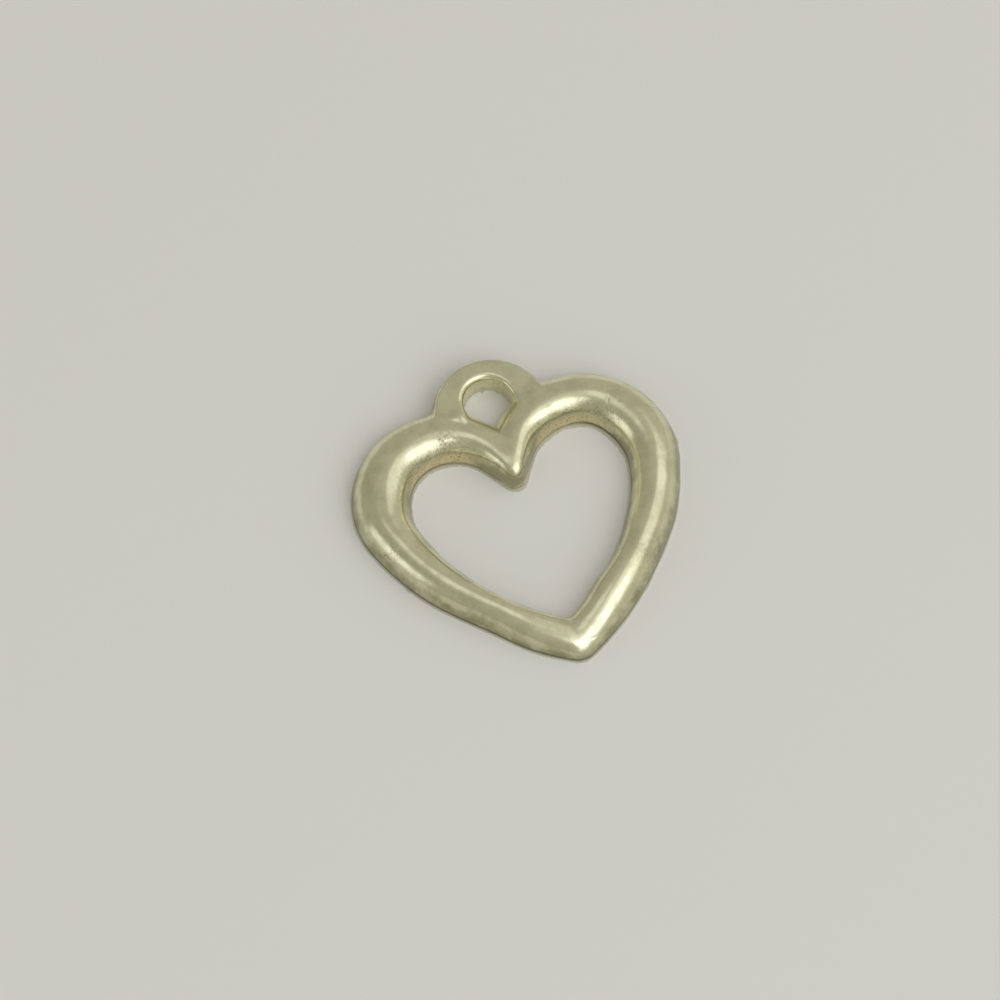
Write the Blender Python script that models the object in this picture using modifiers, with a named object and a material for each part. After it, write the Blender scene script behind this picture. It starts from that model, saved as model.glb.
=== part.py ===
"""Open heart charm with a hanging eye, a small casting in white metal.

The charm lies on its flat back. +Z points out of the domed front, +Y towards the eye, and X runs
across the heart, whose two halves are alike. The outlines are drawn from the lobe line, which joins
the centres of the two lobes, and the whole charm is then moved so that its middle stands on the origin.
"""

import math

import bmesh
import bpy
from mathutils import Vector

MM = 0.001

# Outside of the heart
LOBE_RADIUS = 4.6 * MM
LOBE_OVERLAP = 1.07 * MM
POINT_DEPTH = 10.18 * MM
POINT_RADIUS = 1.03 * MM
OUTER_FLANK_START = math.radians(-20.6)

# Bar of the heart: how far its opening lies inside the outside
LOBE_BAND = 2.4 * MM
POINT_BAND = 2.55 * MM
OPENING_SHIFT_IN = 0.42 * MM
OPENING_SHIFT_DOWN = 0.4 * MM
OPENING_POINT_RADIUS = 0.28 * MM
INNER_FLANK_START = math.radians(-14.7)

# Nose: the cusp that hangs into the opening between the lobes
NOSE_RADIUS = 0.6 * MM
NOSE_LEAN = math.radians(35.9)
CUSP_SPAN = math.radians(17.0)

# Cross-section of the bar: a dome that stands on the thin flash of the mould's parting line
CREST_HEIGHT = 1.58 * MM
SECTION_POWER = 2.0
FLASH_THICKNESS = 0.13 * MM
FLASH_OUTSIDE = 0.12 * MM
FLASH_INSIDE = 0.2 * MM

# Hanging eye
EYE_RADIUS = 2.97 * MM
EYE_RISE = 0.55 * MM
EYE_HEIGHT = 1.4 * MM
EYE_SHOULDER = 0.42 * MM
HOLE_RADIUS = 1.18 * MM
HOLE_RISE = 0.53 * MM
HOLE_FLARE = math.radians(12.0)
RIM_RADIUS = 0.22 * MM

# Feet of the eye, and the gap that they keep to the lobes
FOOT_ANGLE = math.radians(15.0)
FOOT_LENGTH = 1.0 * MM
SEAT_GAP = 0.2 * MM

# Fineness of the curves
CUSP_STEPS = 16
LOBE_STEPS = 32
FLANK_STEPS = 18
POINT_STEPS = 10
QUARTER_STEPS = 9
EYE_STEPS = 24
FOOT_STEPS = 5
RIM_STEPS = 4
SMOOTH_BELOW = math.radians(35.0)

# Sizes that follow from those above
LOBE_X = LOBE_RADIUS - LOBE_OVERLAP
NOTCH_Y = math.sqrt(LOBE_RADIUS ** 2 - LOBE_X ** 2)
OPENING_RADIUS = LOBE_RADIUS - LOBE_BAND
EYE_Y = NOTCH_Y + EYE_RISE
HOLE_Y = EYE_Y + HOLE_RISE
LOBE_CENTRE = Vector((LOBE_X, 0.0))
OPENING_CENTRE = Vector((LOBE_X - OPENING_SHIFT_IN, -OPENING_SHIFT_DOWN))
EYE_CENTRE = Vector((0.0, EYE_Y))
HOLE_CENTRE = Vector((0.0, HOLE_Y))


def direction(angle):
    """Unit vector in the plane of the back."""
    return Vector((math.cos(angle), math.sin(angle)))


def bearing(vector):
    """Angle of a plane vector from +X."""
    return math.atan2(vector.y, vector.x)


def arc(centre, radius, start, end, steps):
    """Points on an arc, with both of its ends."""
    angles = [start + (end - start) * step / steps for step in range(steps + 1)]
    return [centre + radius * direction(angle) for angle in angles]


def straight(start, end, steps):
    """Points on a straight stretch, with both of its ends."""
    return [start.lerp(end, step / steps) for step in range(steps + 1)]


def flank_and_point(centre, radius, start, depth, tip_radius, grow):
    """Right flank and half of the point, as one long arc and one tight one.

    The long arc leaves the lobe's circle without a corner at the angle start, and would reach the
    middle at depth below the lobe line. The tight one rounds the point that it makes there.
    """
    leave = direction(start)
    to_tip = Vector((0.0, -depth)) - centre
    reach = (to_tip.length_squared - radius ** 2) / (2 * (radius - to_tip.dot(leave)))
    flank_radius = radius + reach
    flank_centre = centre - reach * leave
    drop = math.sqrt((flank_radius - tip_radius) ** 2 - flank_centre.x ** 2)
    tip_centre = Vector((0.0, flank_centre.y - drop))
    turn = bearing(tip_centre - flank_centre)
    flank = arc(flank_centre, flank_radius + grow, start, turn, FLANK_STEPS)
    tip = arc(tip_centre, tip_radius + grow, turn, -math.pi / 2, POINT_STEPS)
    return flank + tip[1:]


def outer_outline(grow=0.0):
    """Right half of the outside, from the notch between the lobes down to the point."""
    radius = LOBE_RADIUS + grow
    notch = math.pi - math.acos(LOBE_X / radius)
    shoulder = notch - CUSP_SPAN
    cusp = arc(LOBE_CENTRE, radius, notch, shoulder, CUSP_STEPS)
    lobe = arc(LOBE_CENTRE, radius, shoulder, OUTER_FLANK_START, LOBE_STEPS)
    lower = flank_and_point(
        LOBE_CENTRE, LOBE_RADIUS, OUTER_FLANK_START, POINT_DEPTH, POINT_RADIUS, grow
    )
    return cusp + lobe[1:] + lower[1:]


def inner_outline():
    """Right half of the opening, from the tip of the nose down to the point."""
    leave = math.pi - NOSE_LEAN
    outward = direction(leave)
    lobe_end = OPENING_CENTRE + OPENING_RADIUS * outward
    nose_side_x = -NOSE_RADIUS * outward.x
    side_length = (lobe_end.x - nose_side_x) / outward.y
    side_end = lobe_end + side_length * Vector((-outward.y, outward.x))
    nose_centre = side_end + NOSE_RADIUS * outward
    half = CUSP_STEPS // 2
    nose = arc(nose_centre, NOSE_RADIUS, -math.pi / 2, leave - math.pi, half)
    side = straight(side_end, lobe_end, CUSP_STEPS - half)
    lobe = arc(OPENING_CENTRE, OPENING_RADIUS, leave, INNER_FLANK_START, LOBE_STEPS)
    lower = flank_and_point(
        OPENING_CENTRE,
        OPENING_RADIUS,
        INNER_FLANK_START,
        POINT_DEPTH - POINT_BAND,
        OPENING_POINT_RADIUS,
        0.0,
    )
    return nose + side[1:] + lobe[1:] + lower[1:]


def eye_outside():
    """Right half of the eye's outside, from its top down past the lobe's shoulder."""
    arch = arc(EYE_CENTRE, EYE_RADIUS, math.pi / 2, 0.0, EYE_STEPS)
    foot = arc(EYE_CENTRE, EYE_RADIUS, 0.0, -FOOT_ANGLE, FOOT_STEPS)
    return arch + foot[1:]


def eye_hole():
    """Right half of the eye's hole: an arch whose leg runs on straight and spreads a little."""
    arch = arc(HOLE_CENTRE, HOLE_RADIUS, math.pi / 2, HOLE_FLARE, EYE_STEPS)
    downward = direction(HOLE_FLARE - math.pi / 2)
    leg = straight(arch[-1], arch[-1] + FOOT_LENGTH * downward, FOOT_STEPS)
    return arch + leg[1:]


def quarter_dome(width, foot, height):
    """Distance in from the edge and height above the back, from the foot of a dome to its crest."""
    points = []
    for step in range(QUARTER_STEPS + 1):
        angle = math.pi / 2 * step / QUARTER_STEPS
        inward = 1 - math.cos(angle) ** (2 / SECTION_POWER)
        upward = math.sin(angle) ** (2 / SECTION_POWER)
        points.append((width * inward, foot + (height - foot) * upward))
    return points


def edge_profile(flash, width, height):
    """Half a cross-section: the thin flash at the back, then the side of the dome up to its crest."""
    dome = quarter_dome(width - flash, FLASH_THICKNESS, height)
    return [(0.0, 0.0), (0.0, FLASH_THICKNESS)] + [(flash + inward, z) for inward, z in dome]


def place(profile, edge, inward):
    """Stand a profile up in space, on an edge point and along the inward direction."""
    return [(*(edge + across * inward), z) for across, z in profile]


def bar_section(outer, inner):
    """Cross-section of the bar from the outside to the opening: a dome on a flat back."""
    width = (inner - outer).length
    inward = (inner - outer) / width
    outside = edge_profile(FLASH_OUTSIDE, width / 2, CREST_HEIGHT)
    inside = edge_profile(FLASH_INSIDE, width / 2, CREST_HEIGHT)
    return place(outside, outer, inward) + place(inside[:-1], inner, -inward)[::-1]


def seat_section(outer, inner, grown):
    """The outer half of a bar section, grown by the seat gap, with a block behind its crest."""
    crest = outer.lerp(inner, 0.5)
    width = (crest - grown).length
    top = CREST_HEIGHT + SEAT_GAP
    dome = quarter_dome(width, FLASH_THICKNESS + SEAT_GAP, top)
    side = place([(0.0, -SEAT_GAP)] + dome, grown, (crest - grown) / width)
    return side + [(*inner, top), (*inner, -SEAT_GAP)]


def eye_section(outer, inner):
    """Cross-section of the eye: a steep shoulder, a flat face, a rounded rim and the hole's wall."""
    band = (inner - outer).length
    inward = (inner - outer) / band
    side = edge_profile(FLASH_OUTSIDE, min(EYE_SHOULDER, band - RIM_RADIUS), EYE_HEIGHT)
    rim = []
    for step in range(RIM_STEPS + 1):
        angle = math.pi / 2 * (1 - step / RIM_STEPS)
        back_off = RIM_RADIUS * (1 - math.cos(angle))
        rim.append((-back_off, EYE_HEIGHT - RIM_RADIUS * (1 - math.sin(angle))))
    wall = [(0.0, 0.0)]
    return place(side, outer, inward) + place(rim + wall, inner, inward)


def loft(name, sections, closed_end=False):
    """Mesh through a row of like cross-sections, which run clockwise as seen from the front."""
    shape = bmesh.new()
    rings = [[shape.verts.new(point) for point in section] for section in sections]
    for ring, following in zip(rings, rings[1:]):
        for here in range(len(ring)):
            ahead = (here + 1) % len(ring)
            shape.faces.new((ring[here], ring[ahead], following[ahead], following[here]))
    if closed_end:
        shape.faces.new(rings[-1])
    mesh = bpy.data.meshes.new(name)
    shape.to_mesh(mesh)
    shape.free()
    return mesh


def smooth(mesh):
    """Shade the round stretches smooth and keep the corners sharp."""
    mesh.shade_smooth()
    mesh.set_sharp_from_angle(angle=SMOOTH_BELOW)


def white_metal(name, colour, roughness):
    """Pale cast metal, such as pewter, with a soft handled shine."""
    material = bpy.data.materials.new(name)
    material.use_nodes = True
    shader = material.node_tree.nodes["Principled BSDF"]
    shader.inputs["Base Color"].default_value = (*colour, 1.0)
    shader.inputs["Metallic"].default_value = 1.0
    shader.inputs["Roughness"].default_value = roughness
    material.diffuse_color = (*colour, 1.0)
    return material


def add_whole(name, mesh, collection, parent):
    """Put the right half of a piece into the scene as a child of the charm, and mirror it."""
    thing = bpy.data.objects.new(name, mesh)
    collection.objects.link(thing)
    thing.parent = parent
    mirror = thing.modifiers.new("Other half", "MIRROR")
    mirror.use_clip = True
    mirror.merge_threshold = 0.001 * MM
    return thing


def make_heart_frame(collection, parent):
    """The open heart: a domed bar that swells into the nose between its lobes."""
    sections = [bar_section(*pair) for pair in zip(outer_outline(), inner_outline())]
    mesh = loft("heart_frame", sections)
    mesh.materials.append(white_metal("bar_white_metal", (0.63, 0.60, 0.50), 0.34))
    smooth(mesh)
    return add_whole("heart_frame", mesh, collection, parent)


def make_seat_cutter(collection, parent):
    """The outside form of the bar, grown by the gap that the eye keeps to it."""
    pairs = zip(outer_outline(), inner_outline(), outer_outline(SEAT_GAP))
    mesh = loft("seat_cutter", [seat_section(*points) for points in pairs])
    cutter = add_whole("seat_cutter", mesh, collection, parent)
    cutter.hide_render = True
    cutter.display_type = "WIRE"
    return cutter


def make_hanging_eye(collection, parent, cutter):
    """The arched eye in the notch, with both feet coped over the shoulders of the lobes."""
    sections = [eye_section(*pair) for pair in zip(eye_outside(), eye_hole())]
    mesh = loft("hanging_eye", sections, closed_end=True)
    mesh.materials.append(white_metal("eye_white_metal", (0.66, 0.63, 0.53), 0.30))
    smooth(mesh)
    eye = add_whole("hanging_eye", mesh, collection, parent)
    coping = eye.modifiers.new("Coped feet", "BOOLEAN")
    coping.operation = "DIFFERENCE"
    coping.solver = "EXACT"
    coping.object = cutter
    return eye


def main():
    for thing in list(bpy.data.objects):
        bpy.data.objects.remove(thing, do_unlink=True)
    parts = bpy.data.collections.new("heart_charm")
    cutters = bpy.data.collections.new("cutters")
    for collection in (parts, cutters):
        bpy.context.scene.collection.children.link(collection)

    highest = EYE_Y + EYE_RADIUS
    lowest = outer_outline()[-1].y
    charm = bpy.data.objects.new("heart_charm", None)
    charm.location = (0.0, -(highest + lowest) / 2, 0.0)
    parts.objects.link(charm)

    make_heart_frame(parts, charm)
    cutter = make_seat_cutter(cutters, charm)
    make_hanging_eye(parts, charm, cutter)


main()
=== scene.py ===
# Looks of the open heart charm: a small casting in white metal that lies on a pale studio floor.
import math

import bmesh
import bpy
import numpy as np
from mathutils import Matrix, Vector, noise
from mathutils.bvhtree import BVHTree
from mathutils.kdtree import KDTree


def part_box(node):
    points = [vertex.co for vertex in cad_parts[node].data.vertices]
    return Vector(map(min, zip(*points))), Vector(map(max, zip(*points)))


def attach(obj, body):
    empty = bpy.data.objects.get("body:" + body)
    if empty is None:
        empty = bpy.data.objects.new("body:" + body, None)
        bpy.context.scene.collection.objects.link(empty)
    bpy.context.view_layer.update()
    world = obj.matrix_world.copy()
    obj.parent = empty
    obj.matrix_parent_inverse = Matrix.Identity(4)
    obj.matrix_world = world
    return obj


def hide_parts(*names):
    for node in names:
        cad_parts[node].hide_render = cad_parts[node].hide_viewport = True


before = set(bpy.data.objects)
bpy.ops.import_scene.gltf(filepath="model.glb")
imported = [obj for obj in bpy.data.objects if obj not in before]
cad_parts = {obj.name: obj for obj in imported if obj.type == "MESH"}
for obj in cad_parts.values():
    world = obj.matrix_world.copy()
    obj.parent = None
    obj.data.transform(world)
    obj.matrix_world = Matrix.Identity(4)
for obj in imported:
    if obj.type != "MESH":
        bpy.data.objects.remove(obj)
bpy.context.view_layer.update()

# The casting is modelled in millimetres, from the line that joins the lobes' centres, and goes to
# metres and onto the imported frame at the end.
MM = 0.001

# Outside of the heart
LOBE_RADIUS = 4.6
LOBE_OVERLAP = 1.07
POINT_DEPTH = 10.18
POINT_RADIUS = 1.03
OUTER_FLANK_START = math.radians(-20.6)

# Opening of the heart
LOBE_BAND = 2.4
POINT_BAND = 2.55
OPENING_SHIFT = Vector((-0.42, -0.4))
OPENING_POINT_RADIUS = 0.28
INNER_FLANK_START = math.radians(-14.7)

# Nose between the lobes
NOSE_RADIUS = 0.6
NOSE_LEAN = math.radians(35.9)
CUSP_SPAN = math.radians(17.0)

# Cross-section of the bar. Towards the point it leans inwards, and its crest falls off there
CREST_HEIGHT = 1.58
POINT_HEIGHT = 1.0
POINT_FALL = (-9.3, -4.7)
POINT_LEAN = 0.07
LEAN_SPAN = (-10.0, -2.5)

# Squareness of the bar's dome: 2 is a true ellipse, and round the nose it is fuller
ELLIPSE = 2.0
NOSE_SQUARENESS = 3.2
NOSE_REACH = 1.1

# Flash that the mould left along the back; it runs out towards the notch, under the eye
FLASH_THICKNESS = 0.13
FLASH_OUTSIDE = 0.075
FLASH_INSIDE = 0.17
FLASH_LEFT_AT_NOTCH = 0.1
NOTCH_SPAN = (0.8, 1.6)

# Hanging eye
EYE_RADIUS = 2.97
EYE_RISE = 0.55
EYE_HEIGHT = 1.38
EYE_SHOULDER = 0.4
HOLE_RADIUS = 1.18
HOLE_RISE = 0.53
HOLE_FLARE = math.radians(12.0)
RIM_RADIUS = 0.3
FOOT_ANGLE = math.radians(15.0)
FOOT_LENGTH = 1.0

# The casting came out of the mould a little skew: its right lobe hangs lower than the left one
SKEW = -0.0145

# Where its edges leave the true heart: a spot in plan, how far round it that reaches, and the shift
OUTSIDE_PULLS = (
    ((-4.5, -6.9), 2.3, (0.15, 0.17)),
    ((7.2, -4.3), 1.9, (0.11, -0.05)),
    ((-3.5, -7.7), 1.2, (0.02, 0.05)),
)
OPENING_PULLS = (
    ((4.1, 1.6), 1.3, (0.07, 0.2)),
    ((5.0, -2.0), 1.6, (0.1, -0.03)),
    ((1.9, -6.4), 1.3, (-0.15, 0.1)),
    ((-5.2, 0.5), 1.3, (0.1, 0.0)),
)

# How the flash is torn off: the share of its width that has gone on the whole, the waves in that
# share with how many there are a millimetre, and the least and the most that can have gone
TORN_SHARE = 0.2
TORN_WAVES = ((0.45, 0.9), (0.3, 6.0))
TORN_LIMITS = (-0.1, 0.8)
OUTSIDE_SEED = 3.0
OPENING_SEED = 7.0

# Burrs that were left on the flash: a spot in plan, how far they reach along it and their length
BURRS = (
    ((-6.8, -3.9), 0.1, 0.09),
    ((-0.75, -7.2), 0.1, 0.13),
    ((1.05, -7.2), 0.16, 0.12),
    ((1.45, -6.65), 0.08, 0.1),
    ((8.0, -0.4), 0.2, 0.07),
)

# Burrs round the back of the eye's hole
HOLE_BURRS_PER_MM = 5.0
HOLE_BURR_LENGTH = 0.22
HOLE_BURR_HEIGHT = 0.3
HOLE_SEED = 9.0

# Where the metal of the eye ran together with that of the lobes. The fillet starts above the flash
# and runs out under the crest, and the eye's buried metal stays clear of the back
FILLET_REACH = 0.5
FILLET_FOOT = (0.1, 0.45)
FILLET_TOP = (EYE_HEIGHT + 0.02, CREST_HEIGHT - 0.03)
BURIED_HEIGHT = 0.05
RAY_STEP = 0.0001

# Waves in the skin: height, pitch and where in the noise they start. They come in above the flash
SKIN_WAVES = ((0.026, 2.1, 5.0), (0.007, 0.7, 20.0), (0.0016, 0.24, 40.0))
WAVES_FROM = (FLASH_THICKNESS, 4 * FLASH_THICKNESS)

# Marks on the front: a spot in plan, the way it runs in degrees, half its length and width, and its
# height. The first is the lump at the eye's left foot, the others are nicks and scratches
MARKS = (
    ((-1.6, 3.62), 0.0, 0.46, 0.42, 0.14),
    ((5.44, 2.15), 70.0, 0.16, 0.07, -0.03),
    ((5.95, 1.95), 60.0, 0.12, 0.06, -0.02),
    ((0.62, -9.35), 8.0, 0.2, 0.05, -0.02),
)
MARKS_FROM = (0.3, 0.6)

# Brow: the inner wall under each lobe, which faces down the heart. It comes in with y, and sideways
# with the distance from the middle of the opening's lobe
BROW_FROM_Y = (0.2, 1.4)
BROW_FROM_X = (-2.4, -1.0)

# On the brow polishing left the mould's brown skin and, further up, its sand. Both fade out with the
# distance from the opening's edge
BROWN_UP_TO = (0.15, 0.55)
SAND_UP_TO = (0.4, 1.1)
BROW_SAND = 0.7

# So does the brown skin of the hole's wall, on the arch: out from the wall, and up from the eye's
# centre
HOLE_WALL_UP_TO = (HOLE_RADIUS + 0.02, HOLE_RADIUS + 0.12)
ARCH_FROM = (0.1, 0.7)
HOLE_BROWN = 0.6

# Heights between which the top of the flash ends and the dome begins
LEDGE_UP_TO = (FLASH_THICKNESS + 0.02, FLASH_THICKNESS + 0.1)

# Thin line of painted shade along the inner corner of the flash: how dark it is, how far over the
# flash it sits and how high it spreads, where it comes in across the flash, and where it ends
CORNER_SHADE_STRENGTH = 0.9
CORNER_SHADE_OVER_FLASH = 0.07
CORNER_SHADE_SPREAD = 0.08
CORNER_SHADE_FROM = (0.5, 0.95)
CORNER_SHADE_UP_TO = (0.2, 0.4)

# Sides steep enough to be drawn darker, a painted shade, by the upward part of their normal, and
# the distances from the hole's centre between which that and the line of painted shade come in
STEEP_FROM = (-0.5, 0.0)
STEEP_UP_TO = (0.2, 0.75)
PAINTED_SHADE_FROM = (HOLE_RADIUS + 0.35, HOLE_RADIUS + 0.8)

# Spots on the domes where the mould's sand still shows: a spot in plan and its radius
SANDY_SPOTS = (
    ((-2.8, 2.5), 0.6),
    ((-7.2, -2.3), 0.5),
    ((1.3, 1.0), 0.3),
    ((5.3, -6.6), 1.1),
)

# Skin of the casting. The mould's sand leaves a grain of about 0.05 mm, drawn coarser to show, and
# tumbling leaves blotches of about a millimetre. How deep the grain is where polished and where not
GRAIN_PITCH = 0.13
GRAIN_DEPTH = 0.022
GRAIN_LEFT = (0.05, 0.6)
BLOTCH_PITCH = 0.9
PATTERN_DETAIL = 3.0
PATTERN_ROUGHNESS = 0.6

# Both patterns vary about 0.5. Values of a pattern, and for the mould's skin of their sum, between
# which a look comes in: that skin, the darker blotches, the pits, the duller gloss and the painted
# shade on the steep sides, with the least and the most of that shade
SKIN_COMES_IN = (0.5, 0.95)
BLOTCHES_COME_IN = (0.42, 0.66)
PITS_COME_IN = (0.5, 0.7)
DULLER_GLOSS_COMES_IN = (0.3, 0.7)
SIDE_SHADE_COMES_IN = (0.38, 0.62)
SIDE_SHADE_RANGE = (0.6, 1.2)

# Roughness of the tumbled metal from blotch to blotch and of the mould's skin, and how metallic
# that skin is
TUMBLED_ROUGHNESS = (0.2, 0.29)
SKIN_ROUGHNESS = 0.46
SKIN_METALLIC = 0.85

# Colours of the casting: its tumbled domes where they are brightest and in their blotches, the
# painted shade on its steep sides, the mould's skin and the pits in it, the top of the flash and the
# painted shade in the corner along it
BRIGHT_METAL = "#edeac8"
BLOTCHED_METAL = "#dddab8"
SHADED_SIDE_METAL = "#a3a080"
MOULD_SKIN = "#e8d8ac"
PIT_DIRT = "#94896a"
FLASH_METAL = "#dedbc8"
FLASH_CORNER_SHADE = "#615e54"

# Fineness of the casting's mesh
STATION_STEP = 0.06
PAIRING_REACH = 12
QUARTER_STEPS = 28
FACE_STEPS = 11
RIM_STEPS = 10
WALL_STEPS = 13
SHARP_FROM = math.radians(38.0)

LOBE_X = LOBE_RADIUS - LOBE_OVERLAP
NOTCH_Y = math.sqrt(LOBE_RADIUS ** 2 - LOBE_X ** 2)
EYE_Y = NOTCH_Y + EYE_RISE
HOLE_Y = EYE_Y + HOLE_RISE

# Camera, measured on the photograph: the pixel is that of the middle of the lobe line
CAMERA_AZIMUTH = math.radians(-19.3)
CAMERA_ELEVATION = math.radians(64.6)
CAMERA_DISTANCE = 0.333
IMAGE_SIZE = 1000
PIXELS_PER_MM = 20.7
LOBE_LINE_PIXEL = (515.6, 482.7)
SENSOR_WIDTH = 36.0
CLIPPED_TO = (0.01, 10.0)

# Soft boxes: name, azimuth from the camera's right, elevation, width and height in metres, and the
# share of the full brightness, which is what a mirror would show of the box
SOFT_BOXES = (
    ("wide_soft_box", -13.0, 53.0, 0.86, 0.48, 0.4),
    ("main_soft_box", -43.0, 48.0, 0.48, 0.34, 0.72),
    ("top_soft_box", 175.0, 79.0, 0.25, 0.25, 0.35),
    ("left_soft_box", -160.0, 15.0, 0.26, 0.22, 0.72),
    ("front_soft_box", -52.0, 22.0, 0.42, 0.16, 0.38),
)
LAMP_DISTANCE = 0.5
LAMP_RADIANCE = 1.15
LAMP_COLOUR = "#f6f8ff"

# The room round the charm is a little brighter on one side: its azimuth and elevation
SKY_BRIGHT_SIDE = (1.0, 6.0)
SKY_RADIANCE = (0.34, 0.51)
SKY_COLOUR = "#fffdef"

# Floor, in metres; it lies a hair under the charm's back
FLOOR_RADIUS = 0.6
FLOOR_SIDES = 64
FLOOR_DROP = 0.02 * MM
FLOOR_COLOUR = "#f0efeb"
FLOOR_ROUGHNESS = 0.9
FLOOR_SPECULAR = 0.1


def direction(angle):
    return Vector((math.cos(angle), math.sin(angle)))


def soft_step(low, high, values):
    """0 below low, 1 above high and smooth between them."""
    share = np.clip((values - low) / (high - low), 0.0, 1.0)
    return share * share * (3 - 2 * share)


def fade(low, high, values):
    """1 below low, 0 above high and smooth between them."""
    return 1 - soft_step(low, high, values)


def mound(points, spot, radius):
    """1 at a spot in plan, fading to 0 round it."""
    away = np.hypot(points[:, 0] - spot[0], points[:, 1] - spot[1])
    return np.exp(-(away / radius) ** 2)


def roughness_at(point, per_mm, seed):
    """Smooth noise at a point in plan, from about -1 to 1."""
    return noise.noise(Vector((point[0] * per_mm, point[1] * per_mm, seed)))


def arc(centre, radius, start, end):
    """Points on an arc, a station apart, with both of its ends."""
    steps = max(2, round(abs(end - start) * radius / STATION_STEP))
    angles = np.linspace(start, end, steps + 1)
    return [centre + radius * direction(angle) for angle in angles]


def flank_and_point(centre, radius, start, depth, tip_radius):
    """Right flank and half of the point: a long arc off the lobe's circle, then a tight one."""
    leave = direction(start)
    to_tip = Vector((0.0, -depth)) - centre
    reach = (to_tip.length_squared - radius ** 2) / (2 * (radius - to_tip.dot(leave)))
    flank_radius = radius + reach
    flank_centre = centre - reach * leave
    drop = math.sqrt((flank_radius - tip_radius) ** 2 - flank_centre.x ** 2)
    tip_centre = Vector((0.0, flank_centre.y - drop))
    spoke = tip_centre - flank_centre
    turn = math.atan2(spoke.y, spoke.x)
    flank = arc(flank_centre, flank_radius, start, turn)
    return [flank, arc(tip_centre, tip_radius, turn, -math.pi / 2)]


def outer_stretches():
    """Right half of the outside, from the notch to the point, in four stretches."""
    centre = Vector((LOBE_X, 0.0))
    notch = math.pi - math.acos(LOBE_X / LOBE_RADIUS)
    shoulder = notch - CUSP_SPAN
    cusp = arc(centre, LOBE_RADIUS, notch, shoulder)
    lobe = arc(centre, LOBE_RADIUS, shoulder, OUTER_FLANK_START)
    return [cusp, lobe] + flank_and_point(
        centre, LOBE_RADIUS, OUTER_FLANK_START, POINT_DEPTH, POINT_RADIUS
    )


def inner_stretches():
    """Right half of the opening, from the tip of the nose to the point, in four stretches."""
    centre = Vector((LOBE_X, 0.0)) + OPENING_SHIFT
    radius = LOBE_RADIUS - LOBE_BAND
    leave = math.pi - NOSE_LEAN
    outward = direction(leave)
    lobe_end = centre + radius * outward
    side_length = (lobe_end.x + NOSE_RADIUS * outward.x) / outward.y
    side_end = lobe_end + side_length * Vector((-outward.y, outward.x))
    nose_centre = side_end + NOSE_RADIUS * outward
    nose = arc(nose_centre, NOSE_RADIUS, -math.pi / 2, leave - math.pi)
    steps = max(2, round(side_length / STATION_STEP))
    side = [side_end.lerp(lobe_end, step / steps) for step in range(1, steps + 1)]
    lobe = arc(centre, radius, leave, INNER_FLANK_START)
    return [nose + side, lobe] + flank_and_point(
        centre, radius, INNER_FLANK_START, POINT_DEPTH - POINT_BAND, OPENING_POINT_RADIUS
    )


def lengths_along(points):
    """Distance along a polyline from its start to each of its points."""
    return np.concatenate([[0.0], np.cumsum(np.hypot(*np.diff(points, axis=0).T))])


def at_lengths(points, wanted):
    """Points of a polyline at the wanted distances along it."""
    along = lengths_along(points)
    return np.stack([np.interp(wanted, along, points[:, axis]) for axis in (0, 1)], axis=1)


def evenly(points, count):
    """The same polyline with count points, evenly apart along it."""
    points = np.array(points)
    return at_lengths(points, np.linspace(0.0, lengths_along(points)[-1], count))


def without_jumps(lengths):
    """Even out sudden changes of pace along an outline, with both ends kept."""
    before = 2 * lengths[0] - lengths[PAIRING_REACH:0:-1]
    after = 2 * lengths[-1] - lengths[-2:-PAIRING_REACH - 2:-1]
    weights = np.hanning(2 * PAIRING_REACH + 3)[1:-1]
    padded = np.concatenate([before, lengths, after])
    return np.convolve(padded, weights / weights.sum(), mode="valid")


def paired_outlines():
    """Outside and opening of the right half, matched station by station."""
    halves = [], []
    for stretches in zip(outer_stretches(), inner_stretches()):
        count = max(len(stretch) for stretch in stretches)
        for half, stretch in zip(halves, stretches):
            half.extend(evenly(stretch, count)[1 if half else 0:])
    matched = []
    for half in halves:
        half = np.array(half)
        matched.append(at_lengths(half, without_jumps(lengths_along(half))))
    return matched


def both_sides(half):
    """The right half of an outline and its mirror image, clockwise from the notch."""
    return np.concatenate([half, (half * (-1, 1))[-2:0:-1]])


def pulled(points, pulls):
    """The points of an outline after the pulls that act on them."""
    shifted = points.copy()
    for spot, reach, shift in pulls:
        share = mound(points, spot, reach)
        shifted += share[:, None] * shift
    return shifted


def heart_edges():
    """Outside and opening of this casting all round the heart, matched station by station."""
    outer, inner = paired_outlines()
    return pulled(both_sides(outer), OUTSIDE_PULLS), pulled(both_sides(inner), OPENING_PULLS)


def quarter_dome(width, foot, height, squareness):
    """Distance in from the edge and height above the back, from a dome's foot to its crest."""
    angles = np.linspace(0.0, math.pi / 2, QUARTER_STEPS + 1)
    power = 2 / squareness
    inward = width * (1 - np.maximum(np.cos(angles), 0.0) ** power)
    return list(zip(inward, foot + (height - foot) * np.sin(angles) ** power))


def edge_profile(flash, torn, width, height, squareness=ELLIPSE):
    """Half a cross-section: the flash, less what is torn off it, then the side of the dome."""
    ledge = [(torn, 0.0), (torn, FLASH_THICKNESS), ((torn + flash) / 2, FLASH_THICKNESS)]
    dome = quarter_dome(width - flash, FLASH_THICKNESS, height, squareness)
    return ledge + [(flash + inward, z) for inward, z in dome]


def place(profile, edge, inward):
    """Stand a profile up in space, on an edge point and along the inward direction."""
    return [(edge[0] + across * inward[0], edge[1] + across * inward[1], z) for across, z in profile]


def tear(flash, point, seed):
    """How far in from its nominal edge the flash is torn off here."""
    share = TORN_SHARE
    for amount, per_mm in TORN_WAVES:
        share += amount * roughness_at(point, per_mm, seed)
    least, most = TORN_LIMITS
    torn = flash * min(most, max(least, share))
    for spot, reach, length in BURRS:
        away = math.hypot(point[0] - spot[0], point[1] - spot[1])
        torn -= length * math.exp(-(away / reach) ** 2)
    return torn


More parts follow.
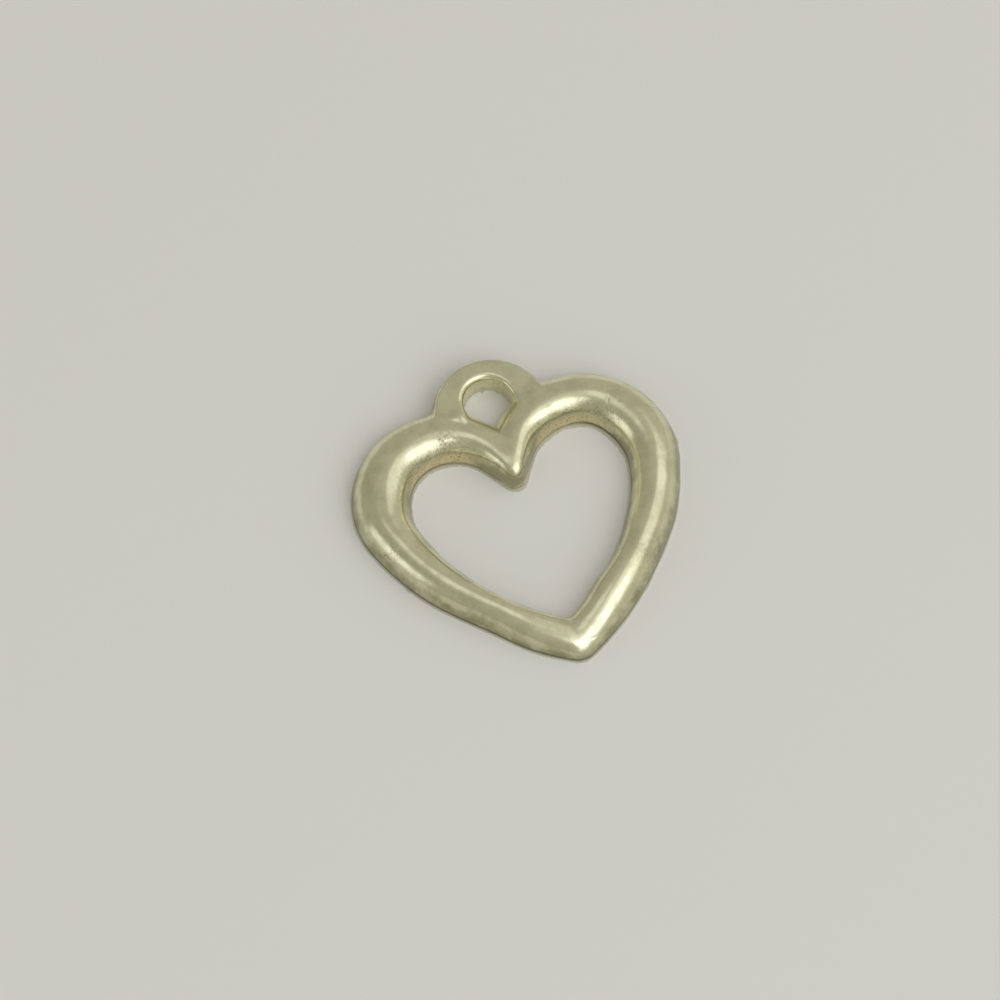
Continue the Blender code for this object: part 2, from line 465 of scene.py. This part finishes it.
def flash_outside(point):
    """Width of the flash on the outside, which runs out towards the notch."""
    from_notch = math.hypot(point[0], point[1] - NOTCH_Y)
    away = soft_step(*NOTCH_SPAN, from_notch)
    return FLASH_OUTSIDE * (FLASH_LEFT_AT_NOTCH + (1 - FLASH_LEFT_AT_NOTCH) * away)


def crest_height(y):
    """Height of the bar's crest, which falls off ever more steeply towards the point."""
    to_point = np.clip((POINT_FALL[1] - y) / (POINT_FALL[1] - POINT_FALL[0]), 0.0, 1.0)
    return CREST_HEIGHT - (CREST_HEIGHT - POINT_HEIGHT) * to_point ** 3


def bar_sections():
    """Cross-sections of the bar round the whole heart, clockwise from the notch."""
    sections = []
    outsides, insides = heart_edges()
    for outside, inside in zip(outsides, insides):
        width = np.hypot(*(inside - outside))
        inward = (inside - outside) / width
        middle_y = (outside[1] + inside[1]) / 2
        height = crest_height(middle_y)
        from_nose = np.hypot(*(inside - insides[0]))
        fullness = math.exp(-(from_nose / NOSE_REACH) ** 2)
        squareness = ELLIPSE + (NOSE_SQUARENESS - ELLIPSE) * fullness
        flash = flash_outside(outside)
        torn = tear(flash, outside, OUTSIDE_SEED), tear(FLASH_INSIDE, inside, OPENING_SEED)
        crest = width * (0.5 + POINT_LEAN * fade(*LEAN_SPAN, middle_y))
        left = edge_profile(flash, torn[0], crest, height)
        right = edge_profile(FLASH_INSIDE, torn[1], width - crest, height, squareness)
        sections.append(place(left, outside, inward) + place(right[:-1], inside, -inward)[::-1])
    return np.array(sections)


def eye_outlines():
    """Outside and hole of the eye, from the left foot over the top to the right foot."""
    centre, hole = Vector((0.0, EYE_Y)), Vector((0.0, HOLE_Y))
    outside = arc(centre, EYE_RADIUS, math.pi / 2, 0.0)
    foot = arc(centre, EYE_RADIUS, 0.0, -FOOT_ANGLE)
    arch = arc(hole, HOLE_RADIUS, math.pi / 2, HOLE_FLARE)
    leg = [arch[-1], arch[-1] + FOOT_LENGTH * direction(HOLE_FLARE - math.pi / 2)]
    outer = np.concatenate([outside, evenly(foot, len(foot))[1:]])
    inner = np.concatenate([evenly(arch, len(outside)), evenly(leg, len(foot))[1:]])
    return [np.concatenate([(half * (-1, 1))[:0:-1], half]) for half in (outer, inner)]


def hole_profile(face_end, burr):
    """The rounded rim of the hole, then its wall down to the back, where the burr sticks out."""
    profile = []
    for turn in np.linspace(math.pi / 2, 0.0, RIM_STEPS + 1):
        drop = RIM_RADIUS * (1 - math.sin(turn))
        profile.append((face_end + RIM_RADIUS * math.cos(turn), EYE_HEIGHT - drop))
    wall_top = profile[-1][1]
    for z in np.linspace(wall_top, 0.0, WALL_STEPS + 1)[1:]:
        profile.append((face_end + RIM_RADIUS + burr * fade(0.0, HOLE_BURR_HEIGHT, z), z))
    return profile


def eye_sections():
    """Cross-sections of the eye: a steep shoulder, a flat face and the rim and wall of the hole."""
    sections = []
    for outside, inside in zip(*eye_outlines()):
        band = np.hypot(*(inside - outside))
        inward = (inside - outside) / band
        face_end = band - RIM_RADIUS
        shoulder = min(EYE_SHOULDER, face_end)
        torn = tear(FLASH_OUTSIDE, outside, OUTSIDE_SEED)
        side = edge_profile(FLASH_OUTSIDE, torn, shoulder, EYE_HEIGHT)
        face_steps = np.linspace(shoulder, face_end, FACE_STEPS + 1)[1:-1]
        face = [(across, EYE_HEIGHT) for across in face_steps]
        burr = HOLE_BURR_LENGTH * max(0.0, roughness_at(inside, HOLE_BURRS_PER_MM, HOLE_SEED))
        sections.append(place(side + face + hole_profile(face_end, burr), outside, inward))
    return np.array(sections)


def lofted(name, sections, closed):
    """Mesh through like cross-sections, as a closed ring or with a cap on each end."""
    stations, ring = sections.shape[:2]
    here = np.arange(ring)
    ahead = (here + 1) % ring
    faces = []
    for station in range(stations if closed else stations - 1):
        first = station * ring
        second = (station + 1) % stations * ring
        corners = (first + here, first + ahead, second + ahead, second + here)
        faces.extend(np.stack(corners, axis=1).tolist())
    if not closed:
        faces.append((here[::-1]).tolist())
        faces.append(((stations - 1) * ring + here).tolist())
    mesh = bpy.data.meshes.new(name)
    mesh.from_pydata(sections.reshape(-1, 3).tolist(), [], faces)
    return mesh


def tree_of(mesh):
    shape = bmesh.new()
    shape.from_mesh(mesh)
    tree = BVHTree.FromBMesh(shape)
    shape.free()
    return tree


def coordinates(mesh):
    flat = np.empty(len(mesh.vertices) * 3)
    mesh.vertices.foreach_get("co", flat)
    return flat.reshape(-1, 3)


def vertex_normals(mesh):
    flat = np.empty(len(mesh.vertices) * 3)
    mesh.vertex_normals.foreach_get("vector", flat)
    return flat.reshape(-1, 3)


def set_coordinates(mesh, points):
    mesh.vertices.foreach_set("co", points.ravel())
    mesh.update()


def distance_to(outline, points):
    """How far each point is from an outline, in plan."""
    tree = KDTree(len(outline))
    for index, spot in enumerate(outline):
        tree.insert((spot[0], spot[1], 0.0), index)
    tree.balance()
    return np.array([tree.find((x, y, 0.0))[2] for x, y in points[:, :2].tolist()])


def lies_inside(point, tree):
    """Whether a ray straight up from the point leaves the piece an odd number of times."""
    crossings = 0
    start = Vector(point)
    while True:
        spot = tree.ray_cast(start, Vector((0.0, 0.0, 1.0)))[0]
        if spot is None:
            return crossings % 2 == 1
        crossings += 1
        start = spot + Vector((0.0, 0.0, RAY_STEP))


def distance_outside(mesh, tree):
    """For each vertex, how far it lies outside the other piece; below 0 it is inside."""
    distances = []
    for point in coordinates(mesh).tolist():
        distance = tree.find_nearest(point)[3]
        within = distance < EYE_HEIGHT and lies_inside(point, tree)
        distances.append(-distance if within else distance)
    return np.array(distances)


def run_together(heart, eye):
    """Swell both skins where they meet, so that a fillet joins the eye's feet to the lobes."""
    gaps = distance_outside(heart, tree_of(eye)), distance_outside(eye, tree_of(heart))
    for mesh, gap in zip((heart, eye), gaps):
        points = coordinates(mesh)
        short = np.clip(FILLET_REACH - np.maximum(gap, 0.0), 0.0, None)
        swell = short ** 2 / (4 * FILLET_REACH) * soft_step(*FILLET_FOOT, points[:, 2])
        swell *= fade(*FILLET_TOP, points[:, 2])
        points += swell[:, None] * vertex_normals(mesh)
        if mesh is eye:
            buried = (gap < 0) & (points[:, 2] < BURIED_HEIGHT)
            points[buried, 2] = BURIED_HEIGHT
        set_coordinates(mesh, points)


def uneven_skin(mesh):
    """The casting's low waves, a wax model's softness that no tool left."""
    points = coordinates(mesh)
    lift = np.zeros(len(points))
    for height, pitch, seed in SKIN_WAVES:
        spots = (points / pitch + seed).tolist()
        lift += height * np.array([noise.noise(Vector(spot)) for spot in spots])
    lift *= soft_step(*WAVES_FROM, points[:, 2])
    set_coordinates(mesh, points + lift[:, None] * vertex_normals(mesh))


def mark_skin(mesh):
    """The few marks of the mould and of handling that show from a step away."""
    points = coordinates(mesh)
    lift = np.zeros(len(points))
    for spot, way, half_length, half_width, height in MARKS:
        along = direction(math.radians(way))
        off = points[:, :2] - spot
        lengthwise, across = off @ along, off @ (-along.y, along.x)
        lift += height * np.exp(-(lengthwise / half_length) ** 2 - (across / half_width) ** 2)
    lift *= soft_step(*MARKS_FROM, points[:, 2])
    set_coordinates(mesh, points + lift[:, None] * vertex_normals(mesh))


def skin_zones(mesh):
    """How far each of the material's skins covers each vertex, from 0 to 1."""
    points = coordinates(mesh)
    heights, facing_up = points[:, 2], vertex_normals(mesh)[:, 2]
    to_outside, to_opening = (distance_to(edge, points) for edge in heart_edges())
    from_hole = np.hypot(points[:, 0], points[:, 1] - HOLE_Y)
    # Painted shade, on the steep sides and in the flash's corner, keeps clear of the eye's hole
    painted_shade_reach = soft_step(*PAINTED_SHADE_FROM, from_hole)

    from_lobe = np.abs(points[:, 0]) - (LOBE_X + OPENING_SHIFT.x)
    brow = soft_step(*BROW_FROM_Y, points[:, 1]) * soft_step(*BROW_FROM_X, from_lobe)
    hole_wall = fade(*HOLE_WALL_UP_TO, from_hole)
    hole_wall *= soft_step(*ARCH_FROM, points[:, 1] - EYE_Y)
    brown = np.maximum(fade(*BROWN_UP_TO, to_opening) * brow, HOLE_BROWN * hole_wall)

    sandy = [mound(points, spot, radius) for spot, radius in SANDY_SPOTS]
    sandy.append(BROW_SAND * brow * fade(*SAND_UP_TO, to_opening))

    ledge = fade(*LEDGE_UP_TO, heights)
    # Painted shade: a thin dark line in the inner corner where the flash meets the dome
    across_flash = np.minimum(to_opening / FLASH_INSIDE, to_outside / FLASH_OUTSIDE)
    over_flash = (heights - FLASH_THICKNESS - CORNER_SHADE_OVER_FLASH) / CORNER_SHADE_SPREAD
    painted_corner_shade = CORNER_SHADE_STRENGTH * np.exp(-over_flash ** 2) * soft_step(*CORNER_SHADE_FROM, across_flash)
    painted_corner_shade *= fade(*CORNER_SHADE_UP_TO, np.minimum(to_opening, to_outside)) * painted_shade_reach
    # Painted shade: steep sides are drawn darker
    painted_side_shade = soft_step(*STEEP_FROM, facing_up) * fade(*STEEP_UP_TO, facing_up)
    return {
        "brown": brown,
        "sandy": np.max(sandy, axis=0),
        "ledge": ledge,
        "painted_corner_shade": painted_corner_shade,
        "painted_side_shade": painted_side_shade * (1 - ledge) * painted_shade_reach,
    }


def mark_zones(mesh):
    """Give the mesh its zones as attributes, for the material to read."""
    for name, values in skin_zones(mesh).items():
        layer = mesh.attributes.new(name, "FLOAT", "POINT")
        layer.data.foreach_set("value", values.astype(np.float32))


def seat_on_frame(meshes):
    """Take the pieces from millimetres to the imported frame's metres; gives the lobe line's y."""
    lowest = min(point.y for stretch in outer_stretches() for point in stretch)
    lobe_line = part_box("heart_frame")[0].y / MM - lowest
    for mesh in meshes:
        points = coordinates(mesh)
        points[:, 1] += SKEW * points[:, 0] + lobe_line
        set_coordinates(mesh, points * MM)
    return lobe_line * MM


def linear(hex_colour):
    """An sRGB hex colour as the linear one that the nodes take."""
    channels = [int(hex_colour[start:start + 2], 16) / 255 for start in (1, 3, 5)]
    values = [c / 12.92 if c <= 0.04045 else ((c + 0.055) / 1.055) ** 2.4 for c in channels]
    return (*values, 1.0)


def add_node(tree, kind, inputs=None, **settings):
    """A node with its settings, and for each input a value or the socket that feeds it."""
    made = tree.nodes.new(kind)
    for name, value in settings.items():
        setattr(made, name, value)
    for name, value in (inputs or {}).items():
        if isinstance(value, bpy.types.NodeSocket):
            tree.links.new(value, made.inputs[name])
        else:
            made.inputs[name].default_value = value
    return made


def empty_material(name):
    material = bpy.data.materials.new(name)
    material.use_nodes = True
    material.node_tree.nodes.clear()
    return material, material.node_tree


def cast_white_metal():
    """Tin-based white metal as cast, tumbled till its domes shine: a soft, warm, pale gloss.

    The barrel never reached the inner walls, the eye's hole or the flash, which keep the dull,
    brownish and sandy skin of the mould.
    """
    material, tree = empty_material("cast_white_metal")
    brown, sandy, ledge, painted_corner_shade, painted_side_shade = (
        add_node(tree, "ShaderNodeAttribute", attribute_name=name).outputs["Fac"]
        for name in ("brown", "sandy", "ledge", "painted_corner_shade", "painted_side_shade")
    )
    spot = add_node(tree, "ShaderNodeTexCoord").outputs["Object"]
    grain, blotch = (
        add_node(tree, "ShaderNodeTexNoise", {
            "Vector": spot, "Scale": 1 / (pitch * MM),
            "Detail": PATTERN_DETAIL, "Roughness": PATTERN_ROUGHNESS,
        }).outputs["Fac"]
        for pitch in (GRAIN_PITCH, BLOTCH_PITCH)
    )

    # The mould's skin is broken up by both patterns
    speckled = add_node(tree, "ShaderNodeMath", {0: grain, 1: blotch}, operation="ADD").outputs[0]
    broken = add_node(tree, "ShaderNodeMath", {
        0: brown, 1: speckled,
    }, operation="MULTIPLY").outputs[0]
    dulled = add_node(tree, "ShaderNodeMapRange", {
        "Value": broken, "From Min": SKIN_COMES_IN[0], "From Max": SKIN_COMES_IN[1],
    }).outputs[0]

    # Colour, from the polished domes down to the painted shade in the flash's corner
    worn = add_node(tree, "ShaderNodeMapRange", {
        "Value": blotch, "From Min": BLOTCHES_COME_IN[0], "From Max": BLOTCHES_COME_IN[1],
    }).outputs[0]
    polished = add_node(tree, "ShaderNodeMix", {
        0: worn, 6: linear(BRIGHT_METAL), 7: linear(BLOTCHED_METAL),
    }, data_type="RGBA").outputs[2]
    # Painted shade on the steep sides, mottled by the blotches
    mottle = add_node(tree, "ShaderNodeMapRange", {
        "Value": blotch, "From Min": SIDE_SHADE_COMES_IN[0], "From Max": SIDE_SHADE_COMES_IN[1],
        "To Min": SIDE_SHADE_RANGE[0], "To Max": SIDE_SHADE_RANGE[1],
    }).outputs[0]
    side_shade = add_node(tree, "ShaderNodeMath", {
        0: painted_side_shade, 1: mottle,
    }, operation="MULTIPLY", use_clamp=True).outputs[0]
    with_sides = add_node(tree, "ShaderNodeMix", {
        0: side_shade, 6: polished, 7: linear(SHADED_SIDE_METAL),
    }, data_type="RGBA").outputs[2]
    with_skin = add_node(tree, "ShaderNodeMix", {
        0: dulled, 6: with_sides, 7: linear(MOULD_SKIN),
    }, data_type="RGBA").outputs[2]
    pits = add_node(tree, "ShaderNodeMapRange", {
        "Value": grain, "From Min": PITS_COME_IN[0], "From Max": PITS_COME_IN[1],
    }).outputs[0]
    uncleaned = add_node(tree, "ShaderNodeMath", {
        0: dulled, 1: sandy,
    }, operation="MAXIMUM").outputs[0]
    dark_pits = add_node(tree, "ShaderNodeMath", {
        0: pits, 1: uncleaned,
    }, operation="MULTIPLY").outputs[0]
    with_pits = add_node(tree, "ShaderNodeMix", {
        0: dark_pits, 6: with_skin, 7: linear(PIT_DIRT),
    }, data_type="RGBA").outputs[2]
    with_ledge = add_node(tree, "ShaderNodeMix", {
        0: ledge, 6: with_pits, 7: linear(FLASH_METAL),
    }, data_type="RGBA").outputs[2]
    # Painted shade: the dark line in the flash's inner corner
    colour = add_node(tree, "ShaderNodeMix", {
        0: painted_corner_shade, 6: with_ledge, 7: linear(FLASH_CORNER_SHADE),
    }, data_type="RGBA").outputs[2]

    # Polish: a gloss that varies with the blotches, dull where the barrel never reached
    unpolished = add_node(tree, "ShaderNodeMath", {
        0: dulled, 1: ledge,
    }, operation="MAXIMUM").outputs[0]
    metallic = add_node(tree, "ShaderNodeMapRange", {
        "Value": unpolished, "To Min": 1.0, "To Max": SKIN_METALLIC,
    }).outputs[0]
    gloss = add_node(tree, "ShaderNodeMapRange", {
        "Value": blotch, "From Min": DULLER_GLOSS_COMES_IN[0], "From Max": DULLER_GLOSS_COMES_IN[1],
        "To Min": TUMBLED_ROUGHNESS[0], "To Max": TUMBLED_ROUGHNESS[1],
    }).outputs[0]
    roughness = add_node(tree, "ShaderNodeMix", {
        0: unpolished, 2: gloss, 3: SKIN_ROUGHNESS,
    }, data_type="FLOAT").outputs[0]

    # Grain of the mould's sand, all but gone where the metal is polished
    rough = add_node(tree, "ShaderNodeMath", {
        0: unpolished, 1: sandy,
    }, operation="MAXIMUM").outputs[0]
    depth = add_node(tree, "ShaderNodeMapRange", {
        "Value": rough, "To Min": GRAIN_LEFT[0], "To Max": GRAIN_LEFT[1],
    }).outputs[0]
    bump = add_node(tree, "ShaderNodeBump", {
        "Height": grain, "Strength": depth, "Distance": GRAIN_DEPTH * MM,
    }).outputs["Normal"]
    shader = add_node(tree, "ShaderNodeBsdfPrincipled", {
        "Metallic": metallic, "Base Color": colour, "Roughness": roughness, "Normal": bump,
    })
    add_node(tree, "ShaderNodeOutputMaterial", {"Surface": shader.outputs["BSDF"]})
    return material


def matt_pale_floor():
    """Matt paper, as on a studio table: no gloss of its own."""
    material, tree = empty_material("matt_pale_floor")
    shader = add_node(tree, "ShaderNodeBsdfPrincipled", {
        "Base Color": linear(FLOOR_COLOUR),
        "Roughness": FLOOR_ROUGHNESS,
        "Specular IOR Level": FLOOR_SPECULAR,
    })
    add_node(tree, "ShaderNodeOutputMaterial", {"Surface": shader.outputs["BSDF"]})
    return material


def make_floor():
    shape = bmesh.new()
    bmesh.ops.create_circle(shape, cap_ends=True, segments=FLOOR_SIDES, radius=FLOOR_RADIUS)
    mesh = bpy.data.meshes.new("floor")
    shape.to_mesh(mesh)
    shape.free()
    mesh.materials.append(matt_pale_floor())
    floor = bpy.data.objects.new("floor", mesh)
    floor.location.z = -FLOOR_DROP
    bpy.context.scene.collection.objects.link(floor)


def towards(azimuth, elevation):
    """Direction from the charm, its azimuth given from the camera's right."""
    turn = CAMERA_AZIMUTH + math.radians(azimuth)
    rise = math.radians(elevation)
    return Vector((math.cos(turn) * math.cos(rise), math.sin(turn) * math.cos(rise), math.sin(rise)))


def soft_box(name, azimuth, elevation, width, height, share):
    """A soft box that looks at the charm from a direction, given from the camera's right."""
    lamp = bpy.data.lights.new(name, "AREA")
    lamp.shape = "RECTANGLE"
    lamp.size = width
    lamp.size_y = height
    lamp.energy = LAMP_RADIANCE * share * math.pi * width * height
    lamp.color = linear(LAMP_COLOUR)[:3]
    holder = bpy.data.objects.new(name, lamp)
    offset = towards(azimuth, elevation)
    holder.location = offset * LAMP_DISTANCE
    holder.rotation_euler = offset.to_track_quat("Z", "Y").to_euler()
    bpy.context.scene.collection.objects.link(holder)


def light_studio():
    """A pale room that is a little brighter on one side, and the soft boxes in it."""
    world = bpy.data.worlds.new("studio")
    world.use_nodes = True
    tree = world.node_tree
    look = add_node(tree, "ShaderNodeTexCoord").outputs["Generated"]
    facing = add_node(tree, "ShaderNodeVectorMath", {
        0: look, 1: towards(*SKY_BRIGHT_SIDE),
    }, operation="DOT_PRODUCT").outputs["Value"]
    strength = add_node(tree, "ShaderNodeMapRange", {
        "Value": facing, "From Min": -1.0, "From Max": 1.0,
        "To Min": SKY_RADIANCE[0], "To Max": SKY_RADIANCE[1],
    }).outputs[0]
    background = tree.nodes["Background"]
    tree.links.new(strength, background.inputs["Strength"])
    background.inputs["Color"].default_value = linear(SKY_COLOUR)
    bpy.context.scene.world = world
    for values in SOFT_BOXES:
        soft_box(*values)


def aim_camera(lobe_line_y):
    """The photograph's view: the lobe line's middle falls on its pixel, at its scale."""
    right = Vector((math.cos(CAMERA_AZIMUTH), math.sin(CAMERA_AZIMUTH), 0.0))
    out = Vector((right.y, -right.x, 0.0)) * math.cos(CAMERA_ELEVATION)
    out.z = math.sin(CAMERA_ELEVATION)
    up = out.cross(right)
    metres_per_pixel = MM / PIXELS_PER_MM
    half = IMAGE_SIZE / 2
    aim = Vector((0.0, lobe_line_y, 0.0))
    aim -= right * (LOBE_LINE_PIXEL[0] - half) * metres_per_pixel
    aim += up * (LOBE_LINE_PIXEL[1] - half) * metres_per_pixel
    camera = bpy.data.cameras.new("camera")
    camera.sensor_width = SENSOR_WIDTH
    camera.lens = SENSOR_WIDTH * CAMERA_DISTANCE / (IMAGE_SIZE * metres_per_pixel)
    camera.clip_start, camera.clip_end = CLIPPED_TO
    holder = bpy.data.objects.new("camera", camera)
    axes = Matrix((right, up, out)).transposed().to_4x4()
    holder.matrix_world = Matrix.Translation(aim + out * CAMERA_DISTANCE) @ axes
    bpy.context.scene.collection.objects.link(holder)
    bpy.context.scene.camera = holder


def show(name, mesh, material, node):
    """Hand one piece of the casting over to the frame."""
    mesh.shade_smooth()
    mesh.set_sharp_from_angle(angle=SHARP_FROM)
    mesh.materials.append(material)
    piece = bpy.data.objects.new(name, mesh)
    bpy.context.scene.collection.objects.link(piece)
    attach(piece, "root")
    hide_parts(node)


def make_casting():
    """The heart's frame and its eye, whose metal ran together in the mould."""
    heart = lofted("heart_frame_casting", bar_sections(), closed=True)
    eye = lofted("hanging_eye_casting", eye_sections(), closed=False)
    run_together(heart, eye)
    for mesh in (heart, eye):
        uneven_skin(mesh)
        mark_skin(mesh)
        mark_zones(mesh)
    lobe_line = seat_on_frame((heart, eye))
    metal = cast_white_metal()
    show("heart_frame_casting", heart, metal, "heart_frame")
    show("hanging_eye_casting", eye, metal, "hanging_eye")
    return lobe_line


bpy.context.scene.view_settings.view_transform = "Standard"
lobe_line = make_casting()
make_floor()
light_studio()
aim_camera(lobe_line)
